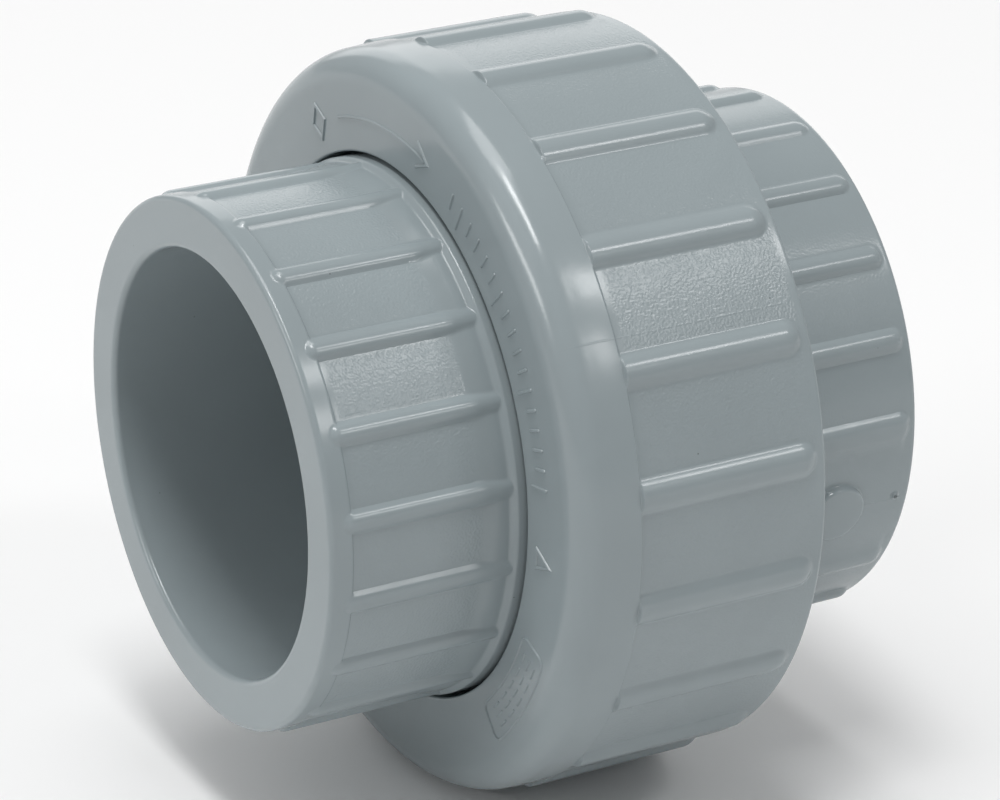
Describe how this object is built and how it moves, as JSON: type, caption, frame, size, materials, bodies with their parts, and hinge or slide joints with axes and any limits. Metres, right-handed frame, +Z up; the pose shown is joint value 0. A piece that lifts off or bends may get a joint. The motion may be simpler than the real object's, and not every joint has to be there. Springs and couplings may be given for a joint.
{
  "type": "pipe union",
  "caption": "Round socket pipe union: a flanged tailpiece clamped to a threaded body by a ribbed union nut, with an O-ring face seal.",
  "frame": {"origin": "on the union's axis, at the middle of its overall length", "axes": "+X along the union's axis, out of the threaded body's socket; +Z up, with the nut lying on two of its ribs; +Y completes the right-handed frame"},
  "size_m": [0.0914, 0.1066, 0.1066],
  "materials": {
    "nut_plastic": "semi-gloss light grey moulded plastic with fine eroded texture on the panels",
    "tailpiece_plastic": "semi-gloss light grey moulded plastic",
    "body_plastic": "semi-gloss light grey moulded plastic",
    "seal_rubber": "matt black moulded rubber"
  },
  "bodies": {
    "threaded_body": {"threaded_body": "body_plastic", "o_ring": "seal_rubber"},
    "tailpiece": {"tailpiece": "tailpiece_plastic"},
    "union_nut": {"union_nut": "nut_plastic"}
  },
  "joints": [
    {"name": "tailpiece_slide", "type": "slide", "parent": "threaded_body", "child": "tailpiece", "axis": [-1, 0, 0], "range_m": [0, 0.0188]},
    {"name": "nut_turn", "type": "hinge", "parent": "tailpiece", "child": "union_nut", "pos_m": [0, 0, 0], "axis": [-1, 0, 0], "range_deg": [0, 1350]}
  ],
  "couplings": [
    {"joint": "tailpiece_slide", "follows": "nut_turn", "m_per_rad": 0.00079577}
  ]
}
